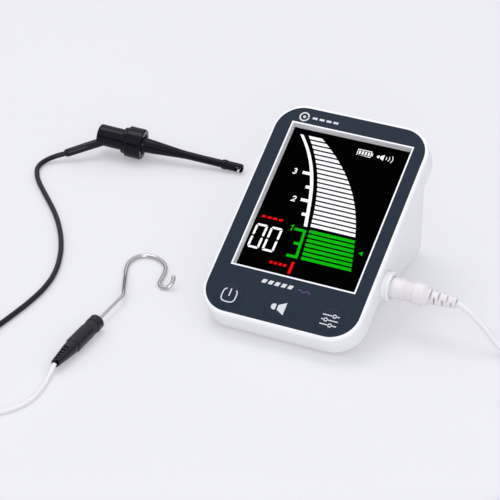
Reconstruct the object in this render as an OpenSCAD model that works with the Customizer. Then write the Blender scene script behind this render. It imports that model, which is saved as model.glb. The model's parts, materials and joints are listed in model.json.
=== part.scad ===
// Apex locator: a desk-top display unit with a tilted face, and its measuring lead,
// which ends in a file clip and a lip hook.
// X runs to the right of the face, Y to the back, Z up. The origin is the middle of the
// display unit's footprint, on the surface that it stands on. Millimetres.

/* [Casing] */
// Width of the tilted slab that holds the screen
slab_width = 75.6; // [74:0.2:80]
// Length of the slab, measured along its face
slab_length = 112; // [111:0.5:118]
// Thickness of the slab
slab_depth = 11; // [10.5:0.1:12]
// Radius of the slab's corners
slab_corner = 14.3; // [13:0.1:16]
// Round-over of the slab's front edge
slab_edge = 1.6; // [0.8:0.1:1.7]
// Wall thickness of both shells
wall = 2; // [1.6:0.1:2.2]
// Angle between the face and the horizontal
face_tilt = 29.7; // [28:0.1:31]
// Half the width of the stand behind the slab
stand_half_width = 32.3; // [31.5:0.1:33]
// Distance from the origin to the stand's rear wall
stand_rear = 51; // [50:0.5:52]

/* [Face] */
// Width of the dark face panel
panel_width = 72; // [70:0.1:72.2]
// Length of the dark face panel
panel_length = 108.1; // [106:0.1:108.4]
// Radius of the face panel's corners
panel_corner = 12.5; // [10:0.1:12.6]
// Thickness of the face panel
panel_thick = 0.8; // [0.6:0.1:0.9]
// Outer width of the screen frame
screen_width = 59.2; // [57:0.1:60]
// Outer height of the screen frame
screen_height = 77.2; // [75:0.1:78]
// Depth of the glass below the face
screen_recess = 4; // [3.6:0.1:4.2]
// Distance between two keys
key_pitch = 23.8; // [23:0.1:24.5]
// Radius of a key
key_radius = 6.6; // [6:0.1:6.8]
// Travel of a key
key_travel = 0.3; // [0.2:0.05:0.35]

/* [Lead plug] */
// Radius of the plug's front sleeve
plug_radius = 4.75; // [4.4:0.05:4.8]
// Radius of the plug's pin
pin_radius = 1.75; // [1.5:0.05:1.9]
// Length of pin that stands out of the plug
pin_length = 14; // [12:0.5:14.5]
// Outer radius of the socket ring
ring_radius = 6.5; // [6:0.1:6.8]

/* [File clip] */
// Radius of the plunger
plunger_radius = 5.3; // [4.9:0.1:5.4]
// Radius of the finger flange
flange_radius = 7.7; // [7.2:0.1:7.7]
// Travel of the flange and nose towards the plunger
clip_travel = 4.5; // [3:0.1:4.5]

/* [Hook connector] */
// Radius of the connector
connector_radius = 3.6; // [3.4:0.1:3.6]
// Thickness of the lip hook's wire at the hook
hook_wire = 2; // [1.7:0.1:2]
// Thickness of the lip hook's straight pin
hook_pin = 1.4; // [1.2:0.1:1.4]

/* [Cords] */
// Diameter of the white main cord
main_cord_d = 2.8; // [2.6:0.1:2.8]
// Diameter of the black lead to the file clip
clip_lead_d = 2.6; // [2.4:0.1:2.6]
// Diameter of the white lead to the lip hook
hook_lead_d = 2; // [1.8:0.1:2]

/* [Hidden] */
$fn = 48;
nudge = 0.1;             // how far a cutter runs past the face that it cuts

// Where the middle of the face is
face_y = -2.6;
face_z = 38.6;

// Slab, in the face's own frame: x across, y up the face, z out of the face
slab_x = slab_width / 2;
slab_y = slab_length / 2;
plate_front = -9;        // front surface of the rear shell's plate
fit_gap = 0.1;           // clearance between parts that are fixed to each other
screen_x = 0.5;          // middle of the screen
screen_y = 7.4;
key_y = -46.2;           // row of keys
key_top = 0.1;           // how far a key stands out of the face
key_cap = 1.4;           // thickness of a key's cap
key_gap = 0.05;          // clearance round a key in the face panel
key_stem = 2;            // radius of a key's stem
front_wall = 2;          // front shell behind the face panel
case_screw_x = 33.95;
case_screw_y = 36;
board_post_x = 28;
board_post_top = 49.8;
board_post_low = -36.5;
board_front = -7.4;
board_thick = 1.6;
switch_height = 2.3;     // height of a switch's button above the board
board_screw_bore = 0.8;
case_screw_bore = 0.85;

// Stand
base_z = 1;
base_round = 3.5;
heel_round = 13;         // radius between the base and the rear wall
plan_round = 5;
stand_inset = 6.2;       // the stand is this much shorter than the slab at each end

// Socket in the right side
socket_y = -13.3;
socket_z = 20;
ring_root = 31.5;
ring_mouth = 41.2;
plug_face = 38.6;
socket_depth = 38.5;
socket_barrel = 3.3;     // radius of the socket behind the wall
socket_up = -18.5;       // where the socket lies along the face

// Battery bay in the base, and its cover
bay_x = 27;
bay_front = -12;
bay_rear = 25;
cover_x = 29;
cover_front = -15;
cover_rear = 33.4;
cover_thick = 1.8;
foot_radius = 3.5;
foot_recess = 0.7;
port_x = 17;             // charging port in the rear wall
port_z = 15.9;
port_board_x = 4.5;
speaker_x = -14;
speaker_z = 25;
cover_screw_y = 28.8;

// File clip: its own frame has x along the clip, from the plunger's end to the tip
clip_rear = [-148.2, 69.95, 10.2];
clip_heading = 8.36;
clip_tilt = 6.1;
plunger_end = 15.5;      // front end of the plunger
spring_room = 1.8;       // room for the pressed spring between the plunger and the nose

// Hook connector: its own frame has x along the pin, 0 at the front face
connector_front = [-75.5, -69.2, 3.6];
connector_rear = 24.8;   // length of the connector's hard body
pin_inside = 13.5;       // length of pin inside the connector
sleeve_radius = 1.1;
connector_heading = 88;

// Route of the main cord from the plug to the coil
plug_to_coil = [
    [70.8, -13.3, 20], [74.5, -13.3, 18.6], [78, -13.4, 16.2], [81.5, -13.6, 13.5], [85, -13.9, 10.4],
    [88.5, -14.3, 7], [92, -14.8, 4], [96.5, -15.6, 1.9], [103, -17, 1.4], [110, -18.8, 1.4],
    [116.6, -20.7, 1.5], [123, -22.4, 1.8], [129.4, -24, 2], [134, -24, 2]];
// Route of the main cord from the coil to the splitter
coil_to_splitter = [
    [152.2, -55.5, 4.8], [149.4, -60.4, 4.6], [146.2, -66.2, 3.6], [142.8, -72.8, 2.2], [139.6, -80, 1.4],
    [136.6, -88.6, 1.4], [133.8, -97.6, 1.4], [129.8, -107, 1.4], [122, -116, 1.4], [111, -122.5, 1.4],
    [98, -129, 1.4], [84, -136, 1.4], [70, -143, 1.4], [56, -149.5, 1.4], [42, -155.5, 1.4],
    [28, -161.5, 1.4], [14, -167.5, 1.4],
    [0, -174, 1.4], [-14, -181, 1.4], [-28, -188, 1.4], [-41, -193, 1.4], [-54, -196, 1.6],
    [-66, -197, 2.4]];
// Route of the black lead from the splitter to the file clip
splitter_to_clip = [
    [-84, -198.6, 2.2], [-92, -199.4, 1.5], [-101, -199.3, 1.3], [-110, -197, 1.3], [-118, -191.5, 1.3],
    [-124, -183.5, 1.3], [-127.4, -173.5, 1.3], [-128.3, -162, 1.3], [-127.6, -149.5, 1.3],
    [-125.5, -137, 1.3], [-122.8, -124.5, 1.3], [-119.9, -112, 1.3], [-117.2, -99.5, 1.3],
    [-115.1, -87, 1.3], [-113.2, -75, 1.3], [-111.8, -63, 1.3], [-111.6, -51, 1.3],
    [-113.4, -39.3, 1.3], [-117.6, -27, 1.3], [-123.4, -15.2, 1.3], [-130, -4.8, 1.3],
    [-137.5, 5, 1.3], [-145.6, 13.9, 1.3], [-153, 21.5, 1.3], [-160, 29, 1.3], [-165, 35.8, 1.3],
    [-167.6, 42, 1.4], [-167, 47.6, 1.9], [-163.8, 52, 2.9], [-159.6, 55, 4]];
// Route of the white lead from the connector to its coil
connector_to_coil = [
    [-76.75, -105.4, 3.6], [-76.4, -110.4, 1.8], [-75.4, -116.5, 1], [-74.8, -123, 1], [-75.4, -130, 1],
    [-78.4, -137, 1], [-83.6, -143.2, 1.1], [-89.6, -147.6, 1.3], [-95.4, -149.9, 1.5],
    [-101, -150.4, 1.5]];
// Route of the white lead from its coil to the splitter
coil_to_split = [
    [-107.3, -173.9, 3.5], [-103.2, -176.4, 3.1], [-99.4, -179.6, 2], [-96.2, -183.6, 1.2],
    [-92.8, -188.2, 1], [-89, -192.4, 1.4], [-84, -195.4, 2.2]];

// Coils: middle of the coil, mean radius of its turns, half the width and the height of the winding.
// A coil lies on its tie, which is thin.
tie_thick = 0.5;
tie_gap = 0.1;
tie_side_gap = 0.35;     // the strap is straight and the coil's side is curved
coil_lift = tie_thick + tie_gap;
main_coil_at = [134, -45, coil_lift];
main_coil_mean = 16.8;
main_coil_half = 5.7;
main_coil_height = 5.7;
hook_coil_at = [-101, -163, coil_lift];
hook_coil_mean = 11.6;
hook_coil_half = 2.1;
hook_coil_height = 4.1;

// Lip hook, from the end of its straight pin: the shank, the bow and the curled end
hook_route = [
    [-75.37, -65.4, 3.6], [-75.1, -57, 3.6], [-74.85, -50, 3.6], [-74.75, -47.5, 3.5], [-75.3, -44.6, 3.3],
    [-77.2, -40.6, 2.8], [-80, -34.6, 2], [-83, -28, 1.2], [-85.4, -22.4, 1.05], [-86.5, -18, 1.05],
    [-86.4, -14.2, 1.05], [-84.9, -10.9, 1.05], [-82, -8.8, 1.05], [-78.5, -8.3, 1.05], [-74.8, -9.3, 1.05],
    [-71.4, -11.6, 1.05], [-69, -14.9, 1.05], [-67.8, -18.6, 1.05], [-67.1, -22, 1.05], [-66.6, -25, 1.05],
    [-66, -27.3, 1.05], [-64.6, -28.9, 1.05], [-62.6, -29.5, 1.15], [-60.7, -29, 1.6], [-59.7, -27.7, 2.7],
    [-59.5, -26.3, 3.9], [-59.8, -25.2, 4.9]];

// ---------- helpers ----------

// Puts a child that is drawn in the face's frame in its place
module on_face() {
    translate([0, face_y, face_z]) rotate([face_tilt, 0, 0]) children();
}

// Copies a child to the four corners of a rectangle
module at_corners(x, low, high) {
    for (side = [-1, 1]) {
        translate([side * x, low, 0]) children();
        translate([side * x, high, 0]) children();
    }
}

module rounded_rect(width, height, radius) {
    square([width - 2 * radius, height], center = true);
    square([width, height - 2 * radius], center = true);
    at_corners(width / 2 - radius, radius - height / 2, height / 2 - radius) circle(radius);
}

// A plate whose top face is at z = 0 and whose top edge is rounded
module rounded_slab(width, height, corner, thick, edge) {
    x = width / 2 - corner;
    y = height / 2 - corner;
    translate([0, 0, -thick]) linear_extrude(thick - edge) rounded_rect(width, height, corner);
    translate([0, 0, -thick]) linear_extrude(thick)
        rounded_rect(width - 2 * edge, height - 2 * edge, corner - edge);
    for (side = [-1, 1]) {
        translate([side * (width / 2 - edge), -y, -edge]) rotate([-90, 0, 0]) cylinder(r = edge, h = 2 * y);
        translate([-x, side * (height / 2 - edge), -edge]) rotate([0, 90, 0]) cylinder(r = edge, h = 2 * x);
    }
    at_corners(x, -y, y)
        translate([0, 0, -edge]) rotate_extrude() translate([corner - edge, 0]) circle(edge);
}

// A cylinder along +X
module rod_x(radius, from, to) {
    translate([from, 0, 0]) rotate([0, 90, 0]) cylinder(r = radius, h = to - from);
}

// A turned shape along +X from a profile of [x, radius] points
module turned_x(profile) {
    first = profile[0];
    last = profile[len(profile) - 1];
    rotate([0, 90, 0]) rotate_extrude()
        polygon(concat([[0, first[0]]], [for (p = profile) [p[1], p[0]]], [[0, last[0]]]));
}

function unit(v) = v / norm(v);
function tangent(path, i) = unit(path[min(i + 1, len(path) - 1)] - path[max(i - 1, 0)]);
// Carries a side vector along the path without twisting it
function side_vectors(path, i, previous) =
    let (t = tangent(path, i), s = unit(previous - (previous * t) * t))
    i == len(path) - 1 ? [s] : concat([s], side_vectors(path, i + 1, s));
// One ring of points round each point of the path
function tube_rings(path, radii, sides) =
    let (across = side_vectors(path, 0, cross(tangent(path, 0), [0.1, 0.2, 1])))
    [for (i = [0 : len(path) - 1])
        let (s = across[i], u = cross(tangent(path, i), s))
        for (k = [0 : sides - 1])
            path[i] + radii[i] * (cos(360 * k / sides) * s + sin(360 * k / sides) * u)];
function tube_walls(count, sides) =
    [for (i = [0 : count - 2], k = [0 : sides - 1])
        [i * sides + k, (i + 1) * sides + k, (i + 1) * sides + (k + 1) % sides, i * sides + (k + 1) % sides]];

// A closed tube along a path, with a radius for each of its points
module tube(path, radii, sides = 8) {
    count = len(path);
    first_cap = [for (k = [0 : sides - 1]) k];
    last_cap = [for (k = [sides - 1 : -1 : 0]) (count - 1) * sides + k];
    polyhedron(tube_rings(path, radii, sides), concat([first_cap, last_cap], tube_walls(count, sides)));
}

module cord(path, diameter) {
    tube(path, [for (p = path) diameter / 2]);
}

// The outer shape of a round coil that lies flat
module coil_solid(at, mean, half, height) {
    translate(at) rotate_extrude() translate([mean - half, 0]) square([2 * half, height]);
}

// A strap round one side of a coil, with a stub where its ends meet
module tie_strap(at, mean, half, height, angle, width) {
    inner_x = 2 * (half + tie_side_gap);
    inner_y = height + 2 * tie_gap;
    translate(at) rotate([0, 0, angle]) translate([mean, width / 2, height / 2]) rotate([90, 0, 0])
        linear_extrude(width) {
            difference() {
                rounded_rect(inner_x + 2 * tie_thick, inner_y + 2 * tie_thick, 1.2);
                rounded_rect(inner_x, inner_y, 0.3);
            }
            translate([-inner_x / 2 - 3, inner_y / 2 - 1.4]) square([3, 1.6]);
        }
}

module in_clip() {
    translate(clip_rear) rotate([0, clip_tilt, clip_heading]) children();
}

module in_connector() {
    translate(connector_front) rotate([0, 0, connector_heading]) children();
}

module at_socket() {
    translate([0, socket_y, socket_z]) children();
}

// ---------- display unit: casing ----------

module front_shell() {
    color("white") difference() {
        union() {
            on_face() difference() {
                rounded_slab(slab_width, slab_length, slab_corner, slab_depth, slab_edge);
                // hollow behind the front wall
                translate([0, 0, -slab_depth - nudge])
                    linear_extrude(slab_depth + nudge - panel_thick - front_wall)
                        rounded_rect(slab_width - 2 * wall, slab_length - 2 * wall, slab_corner - wall);
                // recess for the face panel
                translate([0, 0, -panel_thick]) linear_extrude(panel_thick + nudge)
                    rounded_rect(panel_width + 0.2, panel_length + 0.2, panel_corner + 0.1);
                // window for the screen frame
                translate([screen_x - screen_width / 2 - fit_gap, screen_y - screen_height / 2 - fit_gap, -5])
                    cube([screen_width + 2 * fit_gap, screen_height + 2 * fit_gap, 6]);
                // wells and holes for the keys
                key_places() {
                    translate([0, 0, -5]) cylinder(r = key_stem + 0.3, h = 6);
                    translate([0, 0, key_top - key_cap - key_travel - 0.2])
                        cylinder(r = key_radius + 0.3, h = 2);
                }
            }
            on_face() {
                case_screw_places() screw_post(1.85, case_screw_bore, plate_front + fit_gap);
                board_screw_places() screw_post(2, board_screw_bore, board_front);
            }
        }
        at_socket() rod_x(ring_radius + fit_gap, ring_root, ring_mouth + 5);
    }
}

module key_places() {
    for (i = [-1 : 1]) translate([i * key_pitch, key_y, 0]) children();
}

module case_screw_places() {
    at_corners(case_screw_x, -case_screw_y, case_screw_y) children();
}

module board_screw_places() {
    at_corners(board_post_x, board_post_low, board_post_top) children();
}

// A post with a blind pilot hole, from the front wall back to z
module screw_post(radius, bore, z) {
    top = -panel_thick - front_wall;
    translate([0, 0, z]) difference() {
        cylinder(r = radius, h = top - z + 0.2);
        translate([0, 0, -nudge]) cylinder(r = bore, h = top - z - 0.4);
    }
}

// A point on a plane behind the face, as [y, z] in the world
function behind_face(up, back) =
    [face_y + up * cos(face_tilt) + back * sin(face_tilt),
     face_z + up * sin(face_tilt) - back * cos(face_tilt)];

// Outline of the stand seen from its side, drawn inset by the wall for the hollow
module stand_outline(inset, front_depth) {
    low = behind_face(stand_inset - slab_y + inset, front_depth);
    high = behind_face(slab_y - stand_inset - inset, front_depth);
    rear = stand_rear - inset;
    floor_z = base_z + inset;
    round = heel_round - inset;
    foot = behind_face(stand_inset - slab_y + inset, slab_depth);
    drop = high + [(rear - high[0]), -(rear - high[0]) / tan(face_tilt)];
    polygon([low, [foot[0] + 2 + inset / 2, floor_z], [rear - round, floor_z], [rear, floor_z + round],
             drop, high]);
    translate([rear - round, floor_z + round]) circle(round);
}

// The stand's body: its side outline, cut by its plan and by its rounded lower edges
module stand_body(inset, front_depth) {
    half = stand_half_width - inset;
    round = plan_round - inset;
    intersection() {
        translate([-half, 0, 0]) rotate([90, 0, 90])
            linear_extrude(2 * half) stand_outline(inset, front_depth);
        translate([0, -24, -5]) linear_extrude(80)
            translate([0, (stand_rear - inset) / 2]) rounded_rect(2 * half, stand_rear - inset + 48, round);
        translate([0, -60, 0]) rotate([-90, 0, 0]) linear_extrude(120)
            translate([0, -base_z - inset - 35]) rounded_rect(2 * half, 70, base_round - inset / 2);
    }
}

module rear_shell() {
    color("white") difference() {
        union() {
            difference() {
                union() {
                    stand_body(0, slab_depth - nudge);
                    on_face() translate([0, 0, -slab_depth]) linear_extrude(slab_depth + plate_front)
                        rounded_rect(slab_width - 2 * wall - 0.2, slab_length - 2 * wall - 0.2,
                                     slab_corner - wall - 0.1);
                }
                stand_body(wall, 8);
            }
            // ledge round the cover, wall round the battery bay, and post for the cover's screw
            translate([-cover_x - 1.4, cover_front - 1.4, base_z])
                cube([2 * cover_x + 2.8, cover_rear - cover_front + 2.8, cover_thick + 1.4]);
            translate([-bay_x - 1.4, bay_front - 1.4, base_z])
                cube([2 * bay_x + 2.8, bay_rear - bay_front + 2.8, 10]);
            translate([0, cover_screw_y, base_z]) cylinder(r = 3, h = 8);
            // pillars for the charging board
            for (x = [8, 25])
                translate([x, 37, base_z + 1]) cylinder(r = 1.8, h = port_z - 3.5 - base_z);
        }
        // battery bay, recess for its cover, and bore for the cover's screw
        translate([-bay_x, bay_front, -nudge]) cube([2 * bay_x, bay_rear - bay_front, 20]);
        cover_outline(base_z + cover_thick, fit_gap);
        translate([0, cover_screw_y, 0]) cylinder(r = 0.8, h = 8.2);
        // holes for the case screws
        on_face() case_screw_places() translate([0, 0, -slab_depth - nudge]) {
            cylinder(r = 0.95, h = 4);
            cylinder(r = 1.55, h = 1.1 + nudge);
        }
        // hollows for the heads of the board's screws
        on_face() board_screw_places() translate([0, 0, plate_front - 1.1]) cylinder(r = 2, h = 2);
        at_socket() rod_x(ring_radius + fit_gap, ring_root, ring_mouth + 5);
        at_socket() rod_x(4.5, 20, ring_mouth);
        // sound holes: one in the middle and two rings round it
        translate([speaker_x, stand_rear + 1, speaker_z]) rotate([90, 0, 0]) {
            cylinder(r = 0.9, h = 4);
            for (a = [0 : 60 : 300]) rotate([0, 0, a]) translate([3.4, 0, 0]) cylinder(r = 0.9, h = 4);
            for (a = [15 : 30 : 345]) rotate([0, 0, a]) translate([6.8, 0, 0]) cylinder(r = 0.9, h = 4);
        }
        // slot for the charging socket
        translate([port_x, stand_rear + 1, port_z]) rotate([90, 0, 0])
            linear_extrude(4) rounded_rect(9.4, 3.4, 1.65);
        // sockets for the feet
        feet_places() translate([0, 0, base_z - nudge])
            cylinder(r = foot_radius + fit_gap, h = foot_recess + nudge);
    }
}

// A plate in the shape of the battery cover, from below the base up to z
module cover_outline(z, clearance) {
    translate([0, (cover_front + cover_rear) / 2, -nudge]) linear_extrude(z + nudge)
        rounded_rect(2 * (cover_x + clearance), cover_rear - cover_front + 2 * clearance, 2);
}

// The middles of the four feet
module feet_places() {
    at_corners(24.5, -31, 38.5) children();
}

module rubber_feet() {
    color("dimgray") feet_places() cylinder(r = foot_radius, h = base_z + foot_recess);
}

module battery_cover() {
    color("white") difference() {
        cover_outline(base_z + cover_thick, 0);
        translate([-cover_x - 1, cover_front - 1, -1]) cube([2 * cover_x + 2, 60, base_z + 1]);
        // finger grooves
        for (i = [0 : 3]) translate([-8, 16 + 2.4 * i, base_z - nudge]) cube([16, 1, 0.4 + nudge]);
        translate([0, cover_screw_y, base_z - nudge]) {
            cylinder(r = 1, h = 4);
            cylinder(r = 1.9, h = 0.9 + nudge);
        }
    }
}

module battery_cover_screw() {
    color("silver") translate([0, cover_screw_y, base_z + 0.1]) screw(1.8, 0.8, 0.75, 6);
}

// A screw that stands on its head, at z = 0
module screw(head_radius, head_height, shank_radius, length) {
    difference() {
        cylinder(r = head_radius, h = head_height);
        for (a = [0, 90]) rotate([0, 0, a]) translate([-1, -0.2, -nudge]) cube([2, 0.4, 0.3 + nudge]);
    }
    cylinder(r = shank_radius, h = length);
}

module case_screws() {
    color("silver") on_face() case_screw_places()
        translate([0, 0, -slab_depth + 0.05]) screw(1.45, 0.95, case_screw_bore - 0.05, 7);
}

module board_screws() {
    color("silver") on_face() board_screw_places()
        translate([0, 0, board_front - board_thick - 0.9]) screw(1.7, 0.9, board_screw_bore - 0.05, 5.6);
}

// ---------- display unit: face ----------

module face_panel() {
    color("darkslategray") on_face() translate([0, 0, -panel_thick]) linear_extrude(panel_thick)
        difference() {
            rounded_rect(panel_width, panel_length, panel_corner);
            translate([screen_x, screen_y]) square([screen_width + 0.1, screen_height + 0.1], center = true);
            key_places() circle(key_radius + key_gap);
        }
}

module screen_frame() {
    rim = 0.7;
    color("silver") on_face() translate([screen_x, screen_y, -screen_recess]) linear_extrude(screen_recess)
        difference() {
            square([screen_width, screen_height], center = true);
            square([screen_width - 2 * rim, screen_height - 2 * rim], center = true);
        }
}

module screen_gasket() {
    color("gray") on_face() translate([screen_x, screen_y, -screen_recess]) linear_extrude(0.9)
        difference() {
            square([screen_width + 2.4, screen_height + 1.6], center = true);
            square([screen_width + 0.2, screen_height + 0.2], center = true);
        }
}

module screen_block(width, height, front, thick) {
    on_face() translate([screen_x - width / 2, screen_y - height / 2, -front - thick])
        cube([width, height, thick]);
}

module lcd_glass() {
    color("black") screen_block(61, 79, screen_recess, 1.4);
}

module backlight() {
    color("whitesmoke") screen_block(61.4, 79.4, screen_recess + 1.4, 2);
}

// A flat ribbon that folds from the glass down to the board
module lcd_ribbon() {
    low = screen_y - 79.4 / 2;
    front = -screen_recess - 0.5;
    back = board_front + 0.15;
    color("goldenrod") on_face() translate([-12, 0, 0]) rotate([90, 0, 90]) linear_extrude(24)
        polygon([[low + 0.15, front], [low - 1.2, front], [low - 1.6, front - 0.4], [low - 1.6, back + 0.2],
                 [low - 1.4, back], [low - 3.4, back], [low - 3.4, back + 0.2], [low - 1.9, back + 0.2],
                 [low - 1.9, front - 0.3], [low - 1.3, front + 0.3], [low + 0.15, front + 0.3]]);
}

module main_board() {
    back = board_front - board_thick;
    color("darkgreen") on_face() difference() {
        translate([0, 0, back]) linear_extrude(board_thick) rounded_rect(62, 103, 3);
        board_screw_places() translate([0, 0, back - nudge]) cylinder(r = 0.85, h = 3);
        // notch for the socket's barrel
        translate([21.8, socket_up - 3.6, back - nudge]) cube([12, 7.2, 3]);
    }
}

module tact_switches() {
    color("dimgray") on_face() key_places() translate([0, 0, board_front]) {
        translate([-3, -3, 0]) cube([6, 6, 1.8]);
        cylinder(r = 1.6, h = switch_height);
    }
}

module board_chips() {
    color("black") on_face() translate([0, 0, board_front - board_thick]) {
        translate([-9, 4, -1.4]) cube([14, 14, 1.4]);
        translate([12, -14, -1.2]) cube([7, 5, 1.2]);
        translate([-24, 22, -1.2]) cube([9, 6, 1.2]);
        translate([-20, -14, -2.6]) cube([6, 5, 2.6]);
        translate([14, 26, -3]) cube([5, 5, 3]);
    }
}

// A key's cap under the panel's skin, and the stem that reaches the switch
module key(place) {
    stem_end = board_front + switch_height + key_travel + 0.2;
    on_face() translate([place * key_pitch, key_y, 0]) {
        translate([0, 0, key_top - key_cap]) cylinder(r = key_radius, h = key_cap);
        translate([0, 0, stem_end]) cylinder(r = key_stem, h = key_top - 0.2 - stem_end);
    }
}

module power_key() {
    color("darkslategray") key(-1);
}

module volume_key() {
    color("darkslategray") key(0);
}

module set_key() {
    color("darkslategray") key(1);
}

// ---------- display unit: inside ----------

module speaker() {
    seat = [speaker_x, stand_rear - wall - 0.1, speaker_z];
    color("black") translate(seat) rotate([90, 0, 0]) difference() {
        cylinder(r = 10, h = 3);
        translate([0, 0, -nudge]) cylinder(r = 8.6, h = 1);
    }
}

module speaker_magnet() {
    color("silver") translate([speaker_x, stand_rear - wall - 3.1, speaker_z]) rotate([90, 0, 0])
        cylinder(r = 6, h = 2.4);
}

module battery_pack() {
    color("royalblue") translate([-26, bay_front + 1, base_z + cover_thick + 0.2]) cube([52, 34, 9.5]);
}

// Two wires from the pack up to the board, side by side
module battery_lead() {
    route = [[23.3, 9.4], [24, 9.8], [24.3, 11], [24.2, 14], [22.8, 18], [17, 22], [9, 23], [5.4, 24.8],
             [3.4, 28], [2, 30.6]];
    for (x = [-20, -18.4]) color("red") cord([for (p = route) [x, p[0], p[1]]], 1.2);
}

module charge_board() {
    color("darkgreen") translate([port_board_x, 33, port_z - 2.5]) cube([23.5, 15.6, 1]);
}

module charge_socket() {
    color("silver") translate([port_x, stand_rear - 0.3, port_z]) rotate([90, 0, 0]) {
        difference() {
            linear_extrude(7.3) rounded_rect(9, 3, 1.45);
            translate([0, 0, -nudge]) linear_extrude(6.3) rounded_rect(8.4, 2.5, 1.24);
        }
        translate([-3.3, -0.35, 1.2]) cube([6.6, 0.7, 5.4]);
    }
}

// A ring with a lip, which stands on a flared root against the stand's side
module socket_ring() {
    root = [[stand_half_width + 0.1, 10.6], [34.4, 10.1], [35.6, 9], [36.5, 7.8], [37.6, 6.9], [38.6, 6.5]];
    lip = [[39.6, 6.6], [40.3, 6.9], [40.8, 6.9], [ring_mouth, 6.5]];
    color("white") difference() {
        union() {
            at_socket() rod_x(ring_radius, ring_root + 0.1, ring_mouth - 1);
            difference() {
                at_socket() turned_x(concat(root, lip));
                // the flare stops under the slab's back
                on_face() translate([0, -30, -slab_depth - 0.1]) cube([slab_x + 0.1, 30, slab_depth]);
            }
        }
        at_socket() {
            rod_x(4.4, ring_root - 1, ring_mouth + 1);
            rod_x(plug_radius + 0.3, socket_depth, ring_mouth + 1);
        }
    }
}

module lead_socket() {
    color("gray") at_socket() difference() {
        union() {
            rod_x(4.35, ring_root, socket_depth);
            rod_x(socket_barrel, 22.5, ring_root + 1);
            rod_x(1, 18.5, 23);
        }
        rod_x(pin_radius + 0.05, 23.6, socket_depth + 1);
    }
}

// ---------- measuring lead: plug ----------

module plug_pin() {
    color("silver") at_socket() turned_x([
        [plug_face - pin_length, 0.7], [plug_face - pin_length + 1.4, pin_radius - 0.1],
        [plug_face - pin_length + 2.2, pin_radius - 0.35], [plug_face - pin_length + 2.9, pin_radius],
        [plug_face + 7, pin_radius]]);
}

module plug_body() {
    grip = 47.3;
    pitch = 0.9;
    groove = [[0.1, 4.6], [0.4, 4.35], [0.6, 4.35], [0.8, 4.6]];
    rings = [for (i = [0 : 4], p = groove) [grip + i * pitch + p[0], p[1]]];
    color("white") at_socket() difference() {
        turned_x(concat([[plug_face, plug_radius - 0.3], [plug_face + 0.3, plug_radius], [grip, plug_radius]],
                        rings, [[51.9, 5.1], [56.3, 5.1], [58, 3.8]]));
        rod_x(pin_radius + 0.02, plug_face - 1, plug_face + 7.05);
    }
}

// A taper along +X with slots, each turned against the last
module slotted_relief(from, length, root, end, slots, angle, turn, core, sides = [0, 180]) {
    pitch = length / (slots + 0.8);
    slot = 0.48 * pitch;
    difference() {
        turned_x([[from, root], [from + length - 0.4, end], [from + length, end - 0.3]]);
        for (i = [1 : slots], side = sides)
            rotate([angle + i * turn + side, 0, 0])
                translate([from + (i - 0.2) * pitch - slot / 2, core, -5]) cube([slot, 6, 10]);
    }
}

module plug_strain_relief() {
    color("white") at_socket() slotted_relief(58, 12.8, 3.6, 2.5, 6, 30, 90, 1.5);
}

module main_cord() {
    color("white") cord(plug_to_coil, main_cord_d);
    color("white") cord(coil_to_splitter, main_cord_d);
}

module cord_coil() {
    color("white") coil_solid(main_coil_at, main_coil_mean, main_coil_half, main_coil_height);
}

module cord_tie() {
    color("black") tie_strap(main_coil_at, main_coil_mean, main_coil_half, main_coil_height, 180, 5);
}

module cord_splitter() {
    color("white") translate([-75, -197, 0]) {
        translate([-6, -4, 0]) cube([12, 8, 4.6]);
        translate([6, 0, 2.4]) rotate([0, 90, 0]) cylinder(r1 = 2.4, r2 = 2, h = 3);
        for (y = [-1.6, 1.6]) translate([-9, y, 2.2]) rotate([0, 90, 0]) cylinder(r = 1.5, h = 4);
    }
}

// ---------- measuring lead: file clip ----------

module clip_lead() {
    color("black") cord(splitter_to_clip, clip_lead_d);
}

// The sleeve where the lead runs into the plunger's side
module clip_boot() {
    last = splitter_to_clip[len(splitter_to_clip) - 1];
    root = [-145.2, 68.1, 7.6];
    middle = (last + root) / 2 + [0.5, -0.6, 0.5];
    before = (last + middle) / 2 + [0.1, -0.2, 0.1];
    after = (middle + root) / 2 + [0.1, -0.1, 0.1];
    route = [last, before, middle, after, root];
    color("black") tube(route, [for (i = [0 : len(route) - 1]) 1.95 + 0.05 * i], 12);
}

module clip_plunger() {
    color("black") in_clip() difference() {
        turned_x([[0, plunger_radius - 1], [0.2, plunger_radius - 0.5], [0.6, plunger_radius - 0.15],
                  [1.1, plunger_radius], [plunger_end - 0.3, plunger_radius],
                  [plunger_end, plunger_radius - 0.3]]);
        rod_x(0.62, 11, plunger_end + 0.5);
    }
}

// The wire that runs through the nose and hooks over the file
module clip_hook() {
    color("goldenrod") in_clip() {
        rod_x(0.6, 11.1, 73.6);
        translate([73.6, 0, 0]) sphere(r = 0.6);
        translate([73.6, 0, 0]) rotate([90, 0, 0]) cylinder(r = 0.6, h = 2.9);
        translate([73.6, -2.9, 0]) sphere(r = 0.6);
    }
}

module clip_spring() {
    turns = 4;
    per_turn = 16;
    from = 15.9;
    length = 5.5;
    helix = [for (i = [0 : turns * per_turn])
        let (angle = 360 * i / per_turn)
        [from + length * i / (turns * per_turn), 2.6 * cos(angle), 2.6 * sin(angle)]];
    color("silver") in_clip() tube(helix, [for (p = helix) 0.3], 6);
}

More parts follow.
